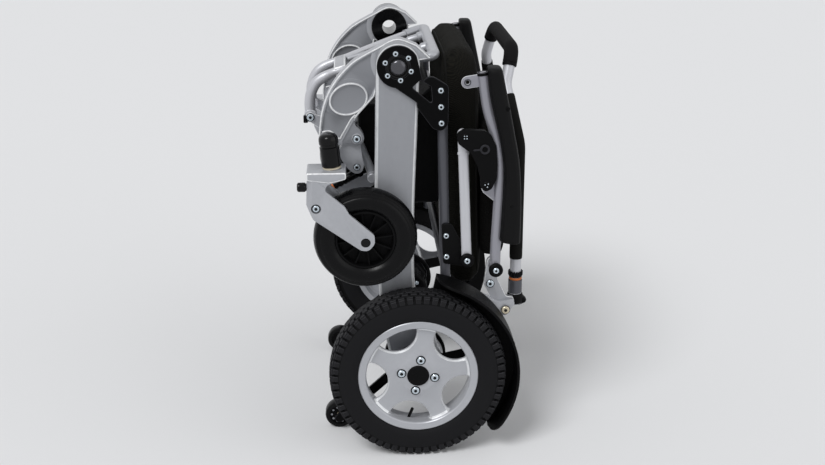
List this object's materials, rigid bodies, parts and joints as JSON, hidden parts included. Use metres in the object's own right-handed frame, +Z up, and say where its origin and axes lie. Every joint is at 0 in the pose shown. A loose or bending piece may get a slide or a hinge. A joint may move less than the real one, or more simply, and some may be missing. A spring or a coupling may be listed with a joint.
{
  "type": "folding power wheelchair",
  "caption": "Folding power wheelchair stored folded, upright on its drive wheels and anti-tip rollers, with casters, footrest, seat, back and armrests that unfold.",
  "frame": {"origin": "centre of the box round the chair, on the floor under the drive wheels", "axes": "+Z up, +X towards the back rest and push bar, Y across the chair with the near side at -Y"},
  "size_m": [0.4055, 0.5854, 0.7445],
  "materials": {
    "silver_casting": "satin silver paint",
    "bright_tube": "bright anodised",
    "graphite_tube": "dark anodised",
    "black_metal": "black paint",
    "motor_black": "black paint",
    "black_plastic": "moulded",
    "wheel_silver": "silver paint",
    "tyre_rubber": "moulded rubber",
    "grip_rubber": "soft foam skin",
    "seat_fabric": "spacer mesh"
  },
  "bodies": {
    "rear_frame": {"rear_arm_left": "silver_casting", "rear_arm_right": "silver_casting", "drive_motor_left": "motor_black", "drive_motor_right": "motor_black", "fender_left": "black_plastic", "fender_right": "black_plastic", "hub_pivot_left": "black_metal", "hub_pivot_right": "black_metal", "rear_cross_tube": "silver_casting", "battery_pack": "black_plastic"},
    "front_frame": {"front_arm_left": "silver_casting", "front_arm_right": "silver_casting", "fold_stop_left": "bright_tube", "fold_stop_right": "bright_tube", "damper_left": "black_metal", "damper_right": "black_metal", "caster_housing_left": "black_plastic", "caster_housing_right": "black_plastic", "front_cross_tube": "graphite_tube", "footrest_bracket": "silver_casting"},
    "footrest": {"footrest_frame": "bright_tube", "footplate": "silver_casting"},
    "seat_frame": {"seat_tube_left": "graphite_tube", "seat_tube_right": "graphite_tube", "hub_bracket_left": "black_metal", "hub_bracket_right": "black_metal", "link_bracket_left": "black_metal", "link_bracket_right": "black_metal", "seat_hinge_left": "silver_casting", "seat_hinge_right": "silver_casting", "seat_cross_front": "graphite_tube", "seat_cross_rear": "graphite_tube", "seat_cushion": "seat_fabric"},
    "back_rest": {"back_frame": "bright_tube", "push_grip": "grip_rubber", "back_cushion": "seat_fabric", "back_casting_left": "silver_casting", "back_casting_right": "silver_casting"},
    "wheel_left": {"rear_tyre_left": "tyre_rubber", "rear_rim_left": "wheel_silver"},
    "anti_tip_left": {"anti_tip_arm_left": "black_metal"},
    "anti_tip_roller_left": {"anti_tip_wheel_left": "tyre_rubber"},
    "caster_left": {"caster_fork_left": "silver_casting"},
    "caster_wheel_left": {"caster_tyre_left": "tyre_rubber", "caster_rim_left": "black_plastic"},
    "armrest_left": {"armrest_tube_left": "bright_tube", "armrest_bracket_left": "black_plastic", "armrest_pad_left": "grip_rubber"},
    "arm_link_left": {"armrest_link_left": "bright_tube"},
    "wheel_right": {"rear_tyre_right": "tyre_rubber", "rear_rim_right": "wheel_silver"},
    "anti_tip_right": {"anti_tip_arm_right": "black_metal"},
    "anti_tip_roller_right": {"anti_tip_wheel_right": "tyre_rubber"},
    "caster_right": {"caster_fork_right": "silver_casting"},
    "caster_wheel_right": {"caster_tyre_right": "tyre_rubber", "caster_rim_right": "black_plastic"},
    "armrest_right": {"armrest_tube_right": "bright_tube", "armrest_bracket_right": "black_plastic", "armrest_pad_right": "grip_rubber"},
    "arm_link_right": {"armrest_link_right": "bright_tube"}
  },
  "joints": [
    {"name": "front_fold", "type": "hinge", "parent": "rear_frame", "child": "front_frame", "pos_m": [-0.0315, 0, 0.706], "axis": [0, 1, 0], "range_deg": [0, 71]},
    {"name": "seat_fold", "type": "hinge", "parent": "rear_frame", "child": "seat_frame", "pos_m": [-0.0315, 0, 0.706], "axis": [0, -1, 0], "range_deg": [0, 24]},
    {"name": "back_fold", "type": "hinge", "parent": "seat_frame", "child": "back_rest", "pos_m": [0.16, 0, 0.262], "axis": [0, 1, 0], "range_deg": [0, 98]},
    {"name": "footrest_fold", "type": "hinge", "parent": "front_frame", "child": "footrest", "pos_m": [-0.1845, 0, 0.5815], "axis": [0, -1, 0], "range_deg": [0, 168]},
    {"name": "wheel_spin_left", "type": "hinge", "parent": "rear_frame", "child": "wheel_left", "pos_m": [0, -0.262, 0.1585], "axis": [0, 1, 0], "continuous": true},
    {"name": "anti_tip_swing_left", "type": "hinge", "parent": "rear_frame", "child": "anti_tip_left", "pos_m": [0, -0.187, 0.1585], "axis": [0, -1, 0], "range_deg": [0, 35]},
    {"name": "anti_tip_spin_left", "type": "hinge", "parent": "anti_tip_left", "child": "anti_tip_roller_left", "pos_m": [-0.143, -0.166, 0.027], "axis": [0, 1, 0], "continuous": true},
    {"name": "caster_swivel_left", "type": "hinge", "parent": "front_frame", "child": "caster_left", "pos_m": [-0.144, -0.262, 0.542], "axis": [0.1011, 0, -0.9949], "range_deg": [0, 240]},
    {"name": "caster_spin_left", "type": "hinge", "parent": "caster_left", "child": "caster_wheel_left", "pos_m": [-0.09, -0.262, 0.418], "axis": [0, 1, 0], "continuous": true},
    {"name": "armrest_swing_left", "type": "hinge", "parent": "back_rest", "child": "armrest_left", "pos_m": [0.137, -0.245, 0.35], "axis": [0, -1, 0], "range_deg": [0, 82.1]},
    {"name": "arm_link_swing_left", "type": "hinge", "parent": "seat_frame", "child": "arm_link_left", "pos_m": [0.087, -0.242, 0.366], "axis": [0, 1, 0], "range_deg": [0, 43.6]},
    {"name": "wheel_spin_right", "type": "hinge", "parent": "rear_frame", "child": "wheel_right", "pos_m": [0, 0.262, 0.1585], "axis": [0, 1, 0], "continuous": true},
    {"name": "anti_tip_swing_right", "type": "hinge", "parent": "rear_frame", "child": "anti_tip_right", "pos_m": [0, 0.187, 0.1585], "axis": [0, -1, 0], "range_deg": [0, 35]},
    {"name": "anti_tip_spin_right", "type": "hinge", "parent": "anti_tip_right", "child": "anti_tip_roller_right", "pos_m": [-0.143, 0.166, 0.027], "axis": [0, 1, 0], "continuous": true},
    {"name": "caster_swivel_right", "type": "hinge", "parent": "front_frame", "child": "caster_right", "pos_m": [-0.144, 0.262, 0.542], "axis": [-0.1011, 0, 0.9949], "range_deg": [0, 240]},
    {"name": "caster_spin_right", "type": "hinge", "parent": "caster_right", "child": "caster_wheel_right", "pos_m": [-0.09, 0.262, 0.418], "axis": [0, 1, 0], "continuous": true},
    {"name": "armrest_swing_right", "type": "hinge", "parent": "back_rest", "child": "armrest_right", "pos_m": [0.137, 0.245, 0.35], "axis": [0, -1, 0], "range_deg": [0, 82.1]},
    {"name": "arm_link_swing_right", "type": "hinge", "parent": "seat_frame", "child": "arm_link_right", "pos_m": [0.087, 0.242, 0.366], "axis": [0, 1, 0], "range_deg": [0, 43.6]}
  ],
  "couplings": [
    {"joint": "seat_fold", "follows": "front_fold", "ratio": 0.338},
    {"joint": "armrest_swing_left", "follows": "back_fold", "ratio": 0.837},
    {"joint": "arm_link_swing_left", "follows": "back_fold", "ratio": 0.444},
    {"joint": "armrest_swing_right", "follows": "back_fold", "ratio": 0.837},
    {"joint": "arm_link_swing_right", "follows": "back_fold", "ratio": 0.444}
  ]
}
